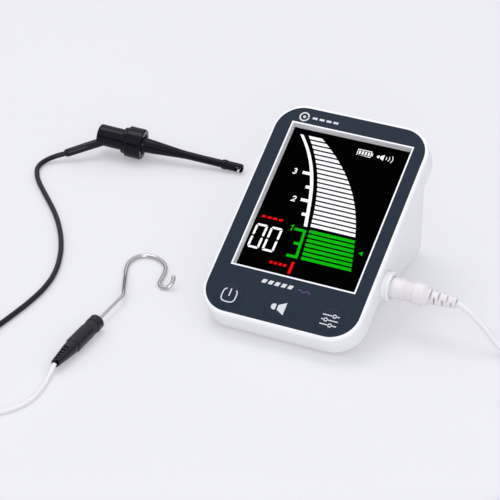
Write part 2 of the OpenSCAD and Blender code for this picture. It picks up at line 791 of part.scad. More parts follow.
// Finger flange, nose and tip in one piece, which slides back over the plunger
module clip_barrel() {
    ring = plunger_radius + 1.3;
    flange = [[13.3, ring - 0.2], [13.9, ring], [14.9, ring], [15.2, flange_radius - 0.4],
              [15.7, flange_radius], [23, flange_radius], [23.6, flange_radius - 0.5]];
    nose = [[23.6, 5.2], [23, 5], [23, 4], [24.4, 3.7], [29, 3.4], [33.5, 3], [38, 2.6],
            [42, 2.25], [46, 2.02], [56, 1.92], [64.2, 1.95]];
    tip = [[64.8, 2.4], [66.6, 2.5], [67.4, 2.25], [74.4, 2.2], [75, 1.95], [75.3, 1.4]];
    color("black") in_clip() difference() {
        turned_x(concat(flange, nose, tip));
        rod_x(plunger_radius + 0.08, 12, plunger_end + clip_travel + spring_room);
        rod_x(0.9, 21, 80);
        // slot in the tip, open at the end, where the hook's leg lies
        translate([71.6, -3, -1]) cube([5, 3, 2]);
    }
}

// ---------- measuring lead: lip hook ----------

module hook_lead() {
    color("white") cord(connector_to_coil, hook_lead_d);
    color("white") cord(coil_to_split, hook_lead_d);
}

module hook_lead_coil() {
    color("white") coil_solid(hook_coil_at, hook_coil_mean, hook_coil_half, hook_coil_height);
}

module hook_lead_tie() {
    color("black") tie_strap(hook_coil_at, hook_coil_mean, hook_coil_half, hook_coil_height, 0, 4);
}

module connector_body() {
    color("black") in_connector() difference() {
        turned_x([[-connector_rear, 3], [0.6 - connector_rear, 3.1], [-21.6, 3.15],
                  [-21, connector_radius - 0.1], [-20.7, connector_radius], [-8.6, connector_radius],
                  [-8.3, 3.2], [-4.3, 3.2], [-4.1, connector_radius], [-0.3, connector_radius],
                  [0, connector_radius - 0.3]]);
        rod_x(sleeve_radius + 0.01, -16.05, 1);
        rod_x(1.5, -3, 1);
    }
}

// A soft ring in the connector's groove
module connector_ring() {
    color("dimgray") in_connector() difference() {
        rod_x(3.35, -8.2, -4.4);
        rod_x(3.22, -9, -4);
    }
}

module connector_strain_relief() {
    color("black") in_connector() mirror([1, 0, 0]) difference() {
        slotted_relief(connector_rear, 11.4, 3, 1.9, 5, 45, 0, 1.1, [0]);
        // open groove where the lead comes out
        rotate([45, 0, 0]) translate([connector_rear + 10.2, -1.05, 0]) cube([2, 2.1, 3]);
    }
}

module contact_sleeve() {
    color("goldenrod") in_connector() difference() {
        rod_x(sleeve_radius, -16, -3.2);
        rod_x(hook_pin / 2 + 0.05, -15, -2);
    }
}

module lip_hook() {
    thin = 4;        // points of the route that are still as thin as the pin
    pin = hook_pin / 2;
    thicken = 0.06;
    color("silver") {
        in_connector() rod_x(pin, -pin_inside, 4.8);
        tube(hook_route, [for (i = [0 : len(hook_route) - 1])
            i < thin ? pin + 0.02 : min(hook_wire / 2, pin + thicken * (i - thin + 1))], 10);
    }
}

front_shell();
rear_shell();
face_panel();
screen_frame();
screen_gasket();
lcd_glass();
backlight();
lcd_ribbon();
main_board();
tact_switches();
board_chips();
board_screws();
case_screws();
socket_ring();
lead_socket();
charge_board();
charge_socket();
speaker();
speaker_magnet();
battery_pack();
battery_lead();
battery_cover();
battery_cover_screw();
rubber_feet();
power_key();
volume_key();
set_key();
plug_pin();
plug_body();
plug_strain_relief();
main_cord();
cord_coil();
cord_tie();
cord_splitter();
clip_lead();
clip_boot();
clip_plunger();
clip_hook();
clip_spring();
clip_barrel();
hook_lead();
hook_lead_coil();
hook_lead_tie();
connector_body();
connector_ring();
connector_strain_relief();
contact_sleeve();
lip_hook();
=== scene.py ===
import json
import math

import bmesh
import bpy
from mathutils import Matrix, Vector


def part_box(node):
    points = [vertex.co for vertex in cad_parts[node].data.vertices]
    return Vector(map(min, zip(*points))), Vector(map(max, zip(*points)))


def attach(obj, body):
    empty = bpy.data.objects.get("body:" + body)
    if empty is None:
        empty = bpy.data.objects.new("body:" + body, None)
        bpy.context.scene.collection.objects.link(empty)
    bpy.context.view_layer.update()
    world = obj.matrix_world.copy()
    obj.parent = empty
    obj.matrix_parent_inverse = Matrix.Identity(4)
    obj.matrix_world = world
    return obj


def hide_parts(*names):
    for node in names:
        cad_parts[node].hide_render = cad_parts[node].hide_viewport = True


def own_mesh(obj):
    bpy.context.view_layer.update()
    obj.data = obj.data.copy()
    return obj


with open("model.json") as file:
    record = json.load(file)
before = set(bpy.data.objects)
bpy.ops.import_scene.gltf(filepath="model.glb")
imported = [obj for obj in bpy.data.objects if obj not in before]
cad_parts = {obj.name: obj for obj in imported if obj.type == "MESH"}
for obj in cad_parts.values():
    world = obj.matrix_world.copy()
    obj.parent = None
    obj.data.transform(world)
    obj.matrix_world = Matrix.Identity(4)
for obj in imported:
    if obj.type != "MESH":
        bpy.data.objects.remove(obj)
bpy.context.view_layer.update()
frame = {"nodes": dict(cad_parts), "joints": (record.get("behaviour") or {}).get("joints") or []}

# Lengths below are millimetres unless a name says otherwise; MM turns them into metres.
MM = 0.001

# ---------- frames of the face, the file clip and the hook connector ----------

JOINT_AXES = {joint["name"]: Vector(joint["axis"]) for joint in frame["joints"]}


def frame_matrix(x_axis, y_axis, origin_m):
    """A matrix from millimetres in a local frame to metres in the object's frame."""
    x_axis, y_axis = x_axis.normalized(), y_axis.normalized()
    z_axis = x_axis.cross(y_axis)
    matrix = Matrix((x_axis * MM, y_axis * MM, z_axis * MM)).transposed().to_4x4()
    matrix.translation = origin_m
    return matrix


def middle(node):
    low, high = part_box(node)
    return (low + high) / 2


# Face: u across, v up the face, w out of it. The keys are pressed along -w.
PANEL_THICK = 0.8
FACE_OUT = -JOINT_AXES["power_key_press"]
FACE = frame_matrix(
    Vector((1, 0, 0)), FACE_OUT.cross(Vector((1, 0, 0))),
    middle("face_panel") + FACE_OUT * (PANEL_THICK / 2 * MM))

# File clip: x from the plunger's rear end to the tip. The flange is squeezed along -x.
CLIP_REAR = Vector((-148.2, 69.95, 10.2))
CLIP_ALONG = -JOINT_AXES["clip_squeeze"]
CLIP = frame_matrix(CLIP_ALONG, Vector((-CLIP_ALONG.y, CLIP_ALONG.x, 0)), CLIP_REAR * MM)

# Hook connector: x along the pin, 0 at the front face
CONNECTOR_FRONT = Vector((-75.5, -69.2, 3.6))
PIN_ALONG = JOINT_AXES["lip_hook_pull"]
CONNECTOR = frame_matrix(PIN_ALONG, Vector((-PIN_ALONG.y, PIN_ALONG.x, 0)), CONNECTOR_FRONT * MM)

WORLD = Matrix.Diagonal((MM, MM, MM, 1))

# ---------- camera ----------

CAMERA_AT = Vector((310.2, -750.4, 533.1))
CAMERA_AZIMUTH = math.radians(24.598)
CAMERA_ELEVATION = math.radians(32.269)
CAMERA_LENS = 154.43


def make_camera():
    camera = bpy.data.objects.new("camera", bpy.data.cameras.new("camera"))
    bpy.context.scene.collection.objects.link(camera)
    camera.data.lens = CAMERA_LENS
    camera.data.clip_end = 20
    level = math.cos(CAMERA_ELEVATION)
    back = Vector((math.sin(CAMERA_AZIMUTH) * level, -math.cos(CAMERA_AZIMUTH) * level,
                   math.sin(CAMERA_ELEVATION)))
    right = Vector((math.cos(CAMERA_AZIMUTH), math.sin(CAMERA_AZIMUTH), 0))
    camera.matrix_world = Matrix((right, back.cross(right), back)).transposed().to_4x4()
    camera.location = CAMERA_AT * MM
    bpy.context.scene.camera = camera


make_camera()

# ---------- materials ----------


def noise_texture(tree, size, detail=2.0):
    """A noise whose grains are about size millimetres across."""
    where = tree.nodes.new("ShaderNodeTexCoord")
    noise = tree.nodes.new("ShaderNodeTexNoise")
    noise.inputs["Scale"].default_value = 1 / (size * MM)
    noise.inputs["Detail"].default_value = detail
    tree.links.new(where.outputs["Object"], noise.inputs["Vector"])
    return noise.outputs["Fac"]


def varied_colour(tree, factor, colour, spread):
    """Between a darker and a lighter shade of the colour."""
    mix = tree.nodes.new("ShaderNodeMix")
    mix.data_type = "RGBA"
    mix.inputs["A"].default_value = [c * (1 - spread) for c in colour] + [1]
    mix.inputs["B"].default_value = [min(1, c * (1 + spread)) for c in colour] + [1]
    tree.links.new(factor, mix.inputs["Factor"])
    return mix.outputs["Result"]


def varied_value(tree, factor, value, spread):
    scale = tree.nodes.new("ShaderNodeMapRange")
    scale.inputs["From Min"].default_value = 0.25
    scale.inputs["From Max"].default_value = 0.75
    scale.inputs["To Min"].default_value = max(0.02, value - spread)
    scale.inputs["To Max"].default_value = min(1, value + spread)
    tree.links.new(factor, scale.inputs["Value"])
    return scale.outputs["Result"]


def finish(name, colour, rough, spread=0.04, rough_spread=0.05, patch=9, grain=0.35, depth=0.012,
           metallic=0.0, coat=0.0, specular=0.5, see_through=0.0):
    """A moulded, coated or metal surface: cloudy colour and gloss, and a fine bump."""
    material = bpy.data.materials.new(name)
    material.use_nodes = True
    tree = material.node_tree
    shader = tree.nodes["Principled BSDF"]
    shader.inputs["Metallic"].default_value = metallic
    shader.inputs["Coat Weight"].default_value = coat
    shader.inputs["Coat Roughness"].default_value = 0.12
    shader.inputs["Specular IOR Level"].default_value = specular
    if see_through:
        shader.inputs["Subsurface Weight"].default_value = see_through
        shader.inputs["Subsurface Radius"].default_value = (1, 0.9, 0.85)
        shader.inputs["Subsurface Scale"].default_value = 1.2 * MM
    clouds = noise_texture(tree, patch, 4)
    grains = noise_texture(tree, grain)
    tree.links.new(varied_colour(tree, clouds, colour, spread), shader.inputs["Base Color"])
    tree.links.new(varied_value(tree, clouds, rough, rough_spread), shader.inputs["Roughness"])
    bump = tree.nodes.new("ShaderNodeBump")
    bump.inputs["Strength"].default_value = 0.5
    bump.inputs["Distance"].default_value = depth * MM
    tree.links.new(grains, bump.inputs["Height"])
    tree.links.new(bump.outputs["Normal"], shader.inputs["Normal"])
    return material


def lit_segment(name, colour, strength):
    """A segment of the display, lit from behind and a little uneven."""
    material = finish(name, [c * 0.2 for c in colour], 0.5, specular=0.02)
    tree = material.node_tree
    shader = tree.nodes["Principled BSDF"]
    glow = varied_colour(tree, noise_texture(tree, 14, 1), colour, 0.05)
    tree.links.new(glow, shader.inputs["Emission Color"])
    shader.inputs["Emission Strength"].default_value = strength
    return material


CASING_WHITE = finish("casing_white", (0.84, 0.845, 0.86), 0.36, spread=0.012, grain=0.3, depth=0.006,
                      see_through=0.08)
RING_WHITE = finish("ring_white", (0.80, 0.80, 0.815), 0.34, spread=0.012, see_through=0.08)
PLUG_WHITE = finish("plug_white", (0.74, 0.71, 0.725), 0.4, spread=0.015, grain=0.25, see_through=0.1)
CORD_WHITE = finish("cord_white", (0.78, 0.775, 0.80), 0.45, spread=0.02, grain=0.6, see_through=0.12)
PANEL_SLATE = finish("panel_slate", (0.011, 0.020, 0.036), 0.45, spread=0.05, patch=14, grain=0.18,
                     depth=0.008, specular=0.12)
FRAME_SILVER = finish("frame_silver", (0.86, 0.86, 0.88), 0.35, spread=0.02, grain=0.2)
LCD_BLACK = finish("lcd_black", (0.0006, 0.0006, 0.0008), 0.2, spread=0.3, grain=2, depth=0.002,
                   specular=0.0)
GASKET_GREY = finish("gasket_grey", (0.05, 0.05, 0.055), 0.9, grain=0.15, depth=0.05)
DIFFUSER_WHITE = finish("diffuser_white", (0.8, 0.8, 0.8), 0.6)
RIBBON_AMBER = finish("ribbon_amber", (0.55, 0.25, 0.05), 0.35, spread=0.1, coat=0.3)
BOARD_GREEN = finish("board_green", (0.012, 0.12, 0.035), 0.4, spread=0.25, patch=3, grain=0.8, depth=0.03)
CHIP_BLACK = finish("chip_black", (0.012, 0.012, 0.013), 0.6, spread=0.2, grain=0.2)
STEEL = finish("steel", (0.55, 0.55, 0.57), 0.28, spread=0.06, metallic=1, grain=0.4)
SOCKET_GREY = finish("socket_grey", (0.22, 0.225, 0.235), 0.5)
FOOT_RUBBER = finish("foot_rubber", (0.022, 0.022, 0.024), 0.85, spread=0.15, grain=0.25, depth=0.05)
BATTERY_BLUE = finish("battery_blue", (0.02, 0.07, 0.34), 0.25, spread=0.1, coat=0.5, grain=3, depth=0.05)
WIRE_RED = finish("wire_red", (0.45, 0.015, 0.012), 0.4)
PLUG_METAL = finish("plug_metal", (0.78, 0.77, 0.75), 0.14, spread=0.04, metallic=1)
CORD_BLACK = finish("cord_black", (0.004, 0.004, 0.009), 0.2, spread=0.25, grain=0.5, depth=0.008,
                    specular=0.25)
CLIP_BLACK = finish("clip_black", (0.0022, 0.0022, 0.0065), 0.16, spread=0.25, patch=5, grain=0.3,
                    depth=0.006, specular=0.17)
CONNECTOR_BLACK = finish("connector_black", (0.006, 0.006, 0.0135), 0.26, spread=0.25, patch=4, grain=0.2,
                         depth=0.01, specular=0.3)
RING_RUBBER = finish("ring_rubber", (0.01, 0.01, 0.013), 0.7, spread=0.2, grain=0.25, depth=0.03)
TIE_BLACK = finish("tie_black", (0.010, 0.010, 0.011), 0.8, spread=0.3, grain=0.35, depth=0.12)
CONTACT_GOLD = finish("contact_gold", (0.75, 0.5, 0.18), 0.22, metallic=1)
HOOK_STEEL = finish("hook_steel", (0.52, 0.515, 0.51), 0.12, spread=0.05, rough_spread=0.03, patch=3,
                    metallic=1, grain=0.25, depth=0.004)
SPRING_STEEL = finish("spring_steel", (0.5, 0.5, 0.5), 0.25, metallic=1)
PRINT_WHITE = finish("print_white", (0.62, 0.63, 0.66), 0.5, spread=0.03, grain=0.15)
PRINT_VIOLET = finish("print_violet", (0.10, 0.045, 0.22), 0.5, spread=0.05, grain=0.15)
LIT_WHITE = lit_segment("lit_white", (0.95, 0.97, 1.0), 0.9)
LIT_GREEN = lit_segment("lit_green", (0.0005, 0.40, 0.0006), 1.0)
LIT_RED = lit_segment("lit_red", (0.74, 0.001, 0.002), 1.0)

NODE_FINISH = {
    "front_shell": CASING_WHITE, "rear_shell": CASING_WHITE, "face_panel": PANEL_SLATE,
    "screen_frame": FRAME_SILVER, "screen_gasket": GASKET_GREY, "lcd_glass": LCD_BLACK,
    "backlight": DIFFUSER_WHITE, "lcd_ribbon": RIBBON_AMBER, "main_board": BOARD_GREEN,
    "tact_switches": CHIP_BLACK, "board_chips": CHIP_BLACK, "board_screws": STEEL, "case_screws": STEEL,
    "socket_ring": RING_WHITE, "lead_socket": SOCKET_GREY, "charge_board": BOARD_GREEN,
    "charge_socket": STEEL, "speaker": CHIP_BLACK, "speaker_magnet": STEEL, "battery_pack": BATTERY_BLUE,
    "battery_lead": WIRE_RED, "battery_cover": CASING_WHITE, "battery_cover_screw": STEEL,
    "rubber_feet": FOOT_RUBBER, "plug_pin": PLUG_METAL, "plug_body": PLUG_WHITE,
    "plug_strain_relief": PLUG_WHITE, "cord_splitter": CORD_WHITE, "clip_plunger": CLIP_BLACK,
    "clip_barrel": CLIP_BLACK, "connector_body": CONNECTOR_BLACK, "connector_ring": RING_RUBBER,
    "connector_strain_relief": CONNECTOR_BLACK, "contact_sleeve": CONTACT_GOLD, "clip_hook": PLUG_METAL,
}

# Edges that the real mouldings break, in millimetres
NODE_EDGE = {
    "face_panel": 0.08, "screen_frame": 0.1, "rear_shell": 0.25, "battery_cover": 0.2, "rubber_feet": 0.4,
    "socket_ring": 0.12, "plug_body": 0.08, "plug_strain_relief": 0.1, "cord_splitter": 0.9,
    "clip_plunger": 0.1, "clip_barrel": 0.1, "connector_body": 0.08, "connector_strain_relief": 0.1,
    "connector_ring": 0.1,
}


def dress_cad_nodes():
    for name, material in NODE_FINISH.items():
        node = frame["nodes"][name]
        if not node.material_slots:
            node.data.materials.append(material)
        for place in node.material_slots:
            place.material = material
    for name, width in NODE_EDGE.items():
        bevel = frame["nodes"][name].modifiers.new("edge", "BEVEL")
        bevel.width = width * MM
        bevel.segments = 2
        bevel.limit_method = "ANGLE"
        bevel.angle_limit = math.radians(35)
        bevel.harden_normals = False


dress_cad_nodes()

# ---------- mesh tools ----------


def add_piece(name, mesh, material, body):
    piece = bpy.data.objects.new(name, mesh)
    bpy.context.scene.collection.objects.link(piece)
    mesh.materials.append(material)
    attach(piece, body)
    return piece


def mesh_from(name, points, faces, matrix, smooth=True):
    mesh = bpy.data.meshes.new(name)
    mesh.from_pydata([matrix @ Vector(p) for p in points], [], faces)
    shape = bmesh.new()
    shape.from_mesh(mesh)
    bmesh.ops.recalc_face_normals(shape, faces=shape.faces)
    shape.to_mesh(mesh)
    shape.free()
    if smooth:
        mesh.shade_smooth()
    return mesh


def smooth_path(points, steps):
    """A Catmull-Rom curve through the points, with steps points for each stretch."""
    points = [Vector(p) for p in points]
    ends = [2 * points[0] - points[1]] + points + [2 * points[-1] - points[-2]]
    path = []
    for before, start, end, after in zip(ends, ends[1:], ends[2:], ends[3:]):
        for step in range(steps):
            t = step / steps
            path.append(0.5 * (2 * start + (end - before) * t
                               + (2 * before - 5 * start + 4 * end - after) * t ** 2
                               + (3 * start - before - 3 * end + after) * t ** 3))
    return path + [points[-1]]


def ring_faces(count, sides):
    """Faces between count rings of points in a row, and one face to close each end."""
    faces = []
    for first in range(0, (count - 1) * sides, sides):
        for k in range(sides):
            after = (k + 1) % sides
            faces.append([first + k, first + after, first + sides + after, first + sides + k])
    faces.append(list(range(sides)))
    faces.append([(count - 1) * sides + k for k in range(sides)])
    return faces


def swept(name, path, radii, matrix, sides=24, round_start=False, round_end=False):
    """A closed tube along a path, with a radius for each point and a flat or round cap at each end."""
    cap_steps = 5
    rings = []
    along = [(path[min(i + 1, len(path) - 1)] - path[max(i - 1, 0)]).normalized() for i in range(len(path))]
    turns = [math.radians(90 * (k + 0.15) / (cap_steps + 0.15)) for k in range(cap_steps)]
    if round_start:
        rings += [(path[0] - along[0] * radii[0] * math.cos(a), along[0], radii[0] * math.sin(a))
                  for a in turns]
    rings += list(zip(path, along, radii))
    if round_end:
        rings += [(path[-1] + along[-1] * radii[-1] * math.cos(a), along[-1], radii[-1] * math.sin(a))
                  for a in reversed(turns)]
    side = rings[0][1].orthogonal().normalized()
    points = []
    for centre, direction, radius in rings:
        side = (side - direction * side.dot(direction)).normalized()
        up = direction.cross(side)
        for k in range(sides):
            angle = 2 * math.pi * k / sides
            points.append(centre + radius * (math.cos(angle) * side + math.sin(angle) * up))
    return mesh_from(name, points, ring_faces(len(rings), sides), matrix)


def turned(name, profile, matrix, sides=64):
    """A shape turned about the local x axis from [x, radius] points, closed at both ends."""
    points = [(x, r * math.cos(2 * math.pi * k / sides), r * math.sin(2 * math.pi * k / sides))
              for x, r in profile for k in range(sides)]
    return mesh_from(name, points, ring_faces(len(profile), sides), matrix)


def plates(name, outlines, low, high, matrix=None):
    """Thin closed plates with these outlines, from low to high out of the face."""
    points, faces = [], []
    for outline in outlines:
        first, count = len(points), len(outline)
        points += [(u, v, low) for u, v in outline] + [(u, v, high) for u, v in outline]
        faces.append([first + k for k in range(count)])
        faces.append([first + count + k for k in range(count)])
        faces += [[first + k, first + (k + 1) % count, first + count + (k + 1) % count, first + count + k]
                  for k in range(count)]
    return mesh_from(name, points, faces, matrix or FACE, smooth=False)


def ribbon(points, width, closed=False):
    """The outline of a line of that width through the points, with mitred corners."""
    points = [Vector(p) for p in points]
    count = len(points)
    left, right = [], []
    for i, point in enumerate(points):
        before = points[(i - 1) % count] if closed or i > 0 else None
        after = points[(i + 1) % count] if closed or i < count - 1 else None
        ins = (point - before).normalized() if before is not None else (after - point).normalized()
        outs = (after - point).normalized() if after is not None else ins
        normal = Vector((-(ins + outs).y, (ins + outs).x)).normalized()
        reach = width / 2 / max(0.4, normal.dot(Vector((-ins.y, ins.x))))
        left.append(point + normal * reach)
        right.append(point - normal * reach)
    if closed:
        return left + [left[0]] + [right[0]] + right[:0:-1]
    return left + right[::-1]


def arc(centre, radius, start, end, steps=16):
    """Points of an arc, angles in degrees."""
    angles = [math.radians(start + (end - start) * k / steps) for k in range(steps + 1)]
    return [(centre[0] + radius * math.cos(a), centre[1] + radius * math.sin(a)) for a in angles]


def moved(outline, u, v, slant=0.0):
    return [(x + u + slant * y, y + v) for x, y in outline]


# ---------- cords ----------

MAIN_CORD_D = 2.8
CLIP_LEAD_D = 2.6
HOOK_LEAD_D = 2.0

PLUG_TO_COIL = [
    (70.8, -13.3, 20), (74.5, -13.3, 18.6), (78, -13.4, 16.2), (81.5, -13.6, 13.5), (85, -13.9, 10.4),
    (88.5, -14.3, 7), (92, -14.8, 4), (96.5, -15.6, 1.9), (103, -17, 1.4), (110, -18.8, 1.4),
    (116.6, -20.7, 1.5), (123, -22.4, 1.8), (129.4, -24, 2)]
COIL_TO_SPLITTER = [
    (149.4, -60.4, 4.6), (146.2, -66.2, 3.6), (142.8, -72.8, 2.2), (139.6, -80, 1.4), (136.6, -88.6, 1.4),
    (133.8, -97.6, 1.4), (129.8, -107, 1.4), (122, -116, 1.4), (111, -122.5, 1.4), (98, -129, 1.4),
    (84, -136, 1.4), (70, -143, 1.4), (56, -149.5, 1.4), (42, -155.5, 1.4), (28, -161.5, 1.4),
    (14, -167.5, 1.4), (0, -174, 1.4), (-14, -181, 1.4), (-28, -188, 1.4), (-41, -193, 1.4),
    (-54, -196, 1.6), (-66, -197, 2.4)]
SPLITTER_TO_CLIP = [
    (-84, -198.6, 2.2), (-92, -199.4, 1.5), (-101, -199.3, 1.3), (-110, -197, 1.3), (-118, -191.5, 1.3),
    (-124, -183.5, 1.3), (-127.4, -173.5, 1.3), (-128.3, -162, 1.3), (-127.6, -149.5, 1.3),
    (-125.5, -137, 1.3), (-122.8, -124.5, 1.3), (-119.9, -112, 1.3), (-117.2, -99.5, 1.3),
    (-115.1, -87, 1.3), (-113.2, -75, 1.3), (-111.8, -63, 1.3), (-111.6, -51, 1.3), (-113.4, -39.3, 1.3),
    (-117.6, -27, 1.3), (-123.4, -15.2, 1.3), (-130, -4.8, 1.3), (-137.5, 5, 1.3), (-145.6, 13.9, 1.3),
    (-153, 21.5, 1.3), (-160, 29, 1.3), (-165, 35.8, 1.3), (-167.6, 42, 1.4), (-167, 47.6, 1.9),
    (-163.8, 52, 2.9), (-159.6, 55, 4)]
SPLIT_TO_HOOK_COIL = [
    (-84, -195.4, 2.2), (-89, -192.4, 1.4), (-92.8, -188.2, 1), (-96.2, -183.6, 1.2), (-99.4, -179.6, 2),
    (-103.2, -176.4, 3.1)]
HOOK_COIL_TO_CONNECTOR = [
    (-95.4, -149.9, 1.5), (-89.6, -147.6, 1.3), (-83.6, -143.2, 1.1), (-78.4, -137, 1), (-75.4, -130, 1),
    (-74.8, -123, 1), (-75.4, -116.5, 1), (-76.4, -110.4, 1.8), (-76.75, -105.4, 3.6)]

# Radius and height of each turn of a coil, in the order in which the cord runs through them
MAIN_COIL_MIDDLE = (134, -45)
MAIN_COIL_TURNS = [(21, 2), (18.2, 2), (15.4, 2), (12.6, 2), (12.6, 4.8), (15.4, 4.8), (18.2, 4.8), (21, 4.8)]
HOOK_COIL_MIDDLE = (-101, -163)
HOOK_COIL_TURNS = [(12.6, 3.5), (10.6, 3.5), (10.6, 1.5), (12.6, 1.5)]


def eased(value):
    value = min(max(value, 0.0), 1.0)
    return value * value * (3 - 2 * value)


def coil_points(middle_point, turns, start, count, per_turn=24):
    """Points along a coil from the angle start, in degrees, over count turns, clockwise if negative.

    The cord climbs to the next layer in one part of a turn and changes radius in the last part."""
    points = []
    steps = round(abs(count) * per_turn)
    for step in range(steps + 1):
        done = abs(count) * step / steps
        turn = min(int(done), len(turns) - 1)
        here, there = turns[turn], turns[min(turn + 1, len(turns) - 1)]
        radius = here[0] + (there[0] - here[0]) * eased((done - turn - 0.84) / 0.16)
        height = here[1] + (there[1] - here[1]) * eased((done - turn - 0.62) / 0.2)
        angle = math.radians(start) + math.copysign(2 * math.pi * done, count)
        points.append((middle_point[0] + radius * math.cos(angle), middle_point[1] + radius * math.sin(angle),
                       height))
    return points


def cord_curve(name, points, diameter, material):
    """One smooth open curve through the points, as thick as the cord."""
    curve = bpy.data.curves.new(name, "CURVE")
    curve.dimensions = "3D"
    curve.bevel_depth = diameter / 2 * MM
    curve.bevel_resolution = 7
    curve.resolution_u = 5
    curve.use_fill_caps = True
    spline = curve.splines.new("BEZIER")
    spline.bezier_points.add(len(points) - 1)
    for place, point in zip(spline.bezier_points, points):
        place.co = Vector(point) * MM
        place.handle_left_type = place.handle_right_type = "AUTO"
    return add_piece(name, curve, material, "lead_set")


main_route = (PLUG_TO_COIL + coil_points(MAIN_COIL_MIDDLE, MAIN_COIL_TURNS, 90, -22 / 3)
              + COIL_TO_SPLITTER)
hook_route = (SPLIT_TO_HOOK_COIL + coil_points(HOOK_COIL_MIDDLE, HOOK_COIL_TURNS, 240, -41 / 12)
              + HOOK_COIL_TO_CONNECTOR)
main_cord = cord_curve("main_cord_jacket", main_route, MAIN_CORD_D, CORD_WHITE)
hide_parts("main_cord", "cord_coil")
clip_lead = cord_curve("clip_lead_jacket", SPLITTER_TO_CLIP, CLIP_LEAD_D, CORD_BLACK)
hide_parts("clip_lead")
hook_lead = cord_curve("hook_lead_jacket", hook_route, HOOK_LEAD_D, CORD_WHITE)
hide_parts("hook_lead", "hook_lead_coil")


def coil_strap(name, node, middle_point, mean, half, low, high, angle, width):
    """A fabric strap round one side of a coil: from the top all the way round, to overlap itself."""
    thick = 0.25
    corner = 1.0
    around = []
    corners = ((half - corner, high - corner, 90), (half - corner, low + corner, 0),
               (corner - half, low + corner, -90), (corner - half, high - corner, -180))
    for centre_x, centre_z, start in corners:
        around += [(centre_x + corner * math.cos(math.radians(start - a)),
                    centre_z + corner * math.sin(math.radians(start - a))) for a in (0, 22, 45, 68, 90)]
    loop = [(0.0, high)] + around + [(0.5 * half, high + 2 * thick), (half - 0.6, high + 2 * thick - 0.05)]
    outline = [(r + mean, z) for r, z in ribbon(loop, 2 * thick)]
    turn = Matrix.Rotation(math.radians(angle), 4, "Z")
    place = WORLD @ Matrix.Translation((middle_point[0], middle_point[1], 0)) @ turn
    side = Matrix(((1, 0, 0, 0), (0, 0, 1, 0), (0, 1, 0, 0), (0, 0, 0, 1)))
    mesh = plates(name, [outline], -width / 2, width / 2, place @ side)
    strap = add_piece(name, mesh, TIE_BLACK, "lead_set")
    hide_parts(node)
    bevel = strap.modifiers.new("edge", "BEVEL")
    bevel.width = 0.12 * MM
    bevel.segments = 2
    bevel.angle_limit = math.radians(50)
    return strap


main_tie = coil_strap("cord_tie_strap", "cord_tie", MAIN_COIL_MIDDLE, 16.8, 6.2, 0.3, 6.6, 180, 5)
hook_tie = coil_strap("hook_tie_strap", "hook_lead_tie", HOOK_COIL_MIDDLE, 11.6, 2.7, 0.3, 5.0, 0, 4)

# ---------- lip hook, clip boot and spring ----------

HOOK_PIN_R = 0.7
HOOK_WIRE_R = 1.0
HOOK_PIN_INSIDE = 13.5
THICKENS_AFTER = 30
THICKENS_OVER = 12
HOOK_ROUTE = [
    (-75.1, -57, 3.6), (-74.85, -50, 3.6), (-74.75, -47.5, 3.5), (-75.3, -44.6, 3.3), (-77.2, -40.6, 2.8),
    (-80, -34.6, 2), (-83, -28, 1.2), (-85.4, -22.4, 1.05), (-86.5, -18, 1.05), (-86.4, -14.2, 1.05),
    (-84.9, -10.9, 1.05), (-82, -8.8, 1.05), (-78.5, -8.3, 1.05), (-74.8, -9.3, 1.05), (-71.4, -11.6, 1.05),
    (-69, -14.9, 1.05), (-67.8, -18.6, 1.05), (-67.1, -22, 1.05), (-66.6, -25, 1.05), (-66, -27.3, 1.05),
    (-64.6, -28.9, 1.05), (-62.6, -29.5, 1.15), (-60.7, -29, 1.6), (-59.7, -27.7, 2.7), (-59.5, -26.3, 3.9),
    (-59.8, -25.2, 4.9)]


def make_lip_hook():
    """A thin straight pin that thickens into the bent wire of the hook."""
    to_mm = Matrix.Scale(1000, 4) @ CONNECTOR
    pin = [to_mm @ Vector((x, 0, 0)) for x in (-HOOK_PIN_INSIDE, -5, 4.8)]
    path = smooth_path(pin + [Vector(p) for p in HOOK_ROUTE], 6)
    done = 0.0
    radii = [HOOK_PIN_R]
    for start, end in zip(path, path[1:]):
        done += (end - start).length
        radii.append(HOOK_PIN_R + (HOOK_WIRE_R - HOOK_PIN_R) * eased((done - THICKENS_AFTER) / THICKENS_OVER))
    mesh = swept("lip_hook_wire", path, radii, WORLD, 24, round_start=True, round_end=True)
    hook = add_piece("lip_hook_wire", mesh, HOOK_STEEL, "lip_hook")
    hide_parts("lip_hook")
    return hook


def make_clip_boot():
    root = Vector((-145.2, 68.1, 7.6))
    last = Vector(SPLITTER_TO_CLIP[-1])
    sag = Vector((0.5, -0.6, 0.5))
    path = smooth_path([last, (last + root) / 2 + sag, root], 12)
    radii = [1.7, 2.0] + [2.05 + 0.15 * k / len(path) for k in range(len(path) - 2)]
    mesh = swept("clip_boot_sleeve", path, radii, WORLD, 32)
    boot = add_piece("clip_boot_sleeve", mesh, CORD_BLACK, "lead_set")
    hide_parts("clip_boot")
    return boot


def make_clip_spring():
    turns, per_turn, start, length, radius = 4, 24, 15.9, 5.5, 2.6
    helix = []
    for step in range(turns * per_turn + 1):
        angle = 2 * math.pi * step / per_turn
        helix.append(Vector((start + length * step / (turns * per_turn), radius * math.cos(angle),
                             radius * math.sin(angle))))
    mesh = swept("clip_spring_coil", helix, [0.3] * len(helix), CLIP, 10, round_start=True, round_end=True)
    spring = add_piece("clip_spring_coil", mesh, SPRING_STEEL, "lead_set")
    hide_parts("clip_spring")
    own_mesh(spring)
    return spring


lip_hook = make_lip_hook()
clip_boot = make_clip_boot()
clip_spring = make_clip_spring()

# ---------- keys ----------

KEY_PITCH = 23.8
KEY_V = -46.2
KEY_RADIUS = 6.6
KEY_TOP = 0.1
KEY_FLAT_RADIUS = 4.9
KEY_CAP_BACK = -1.3
KEY_STEM_END = -4.6
KEY_STEM_RADIUS = 2


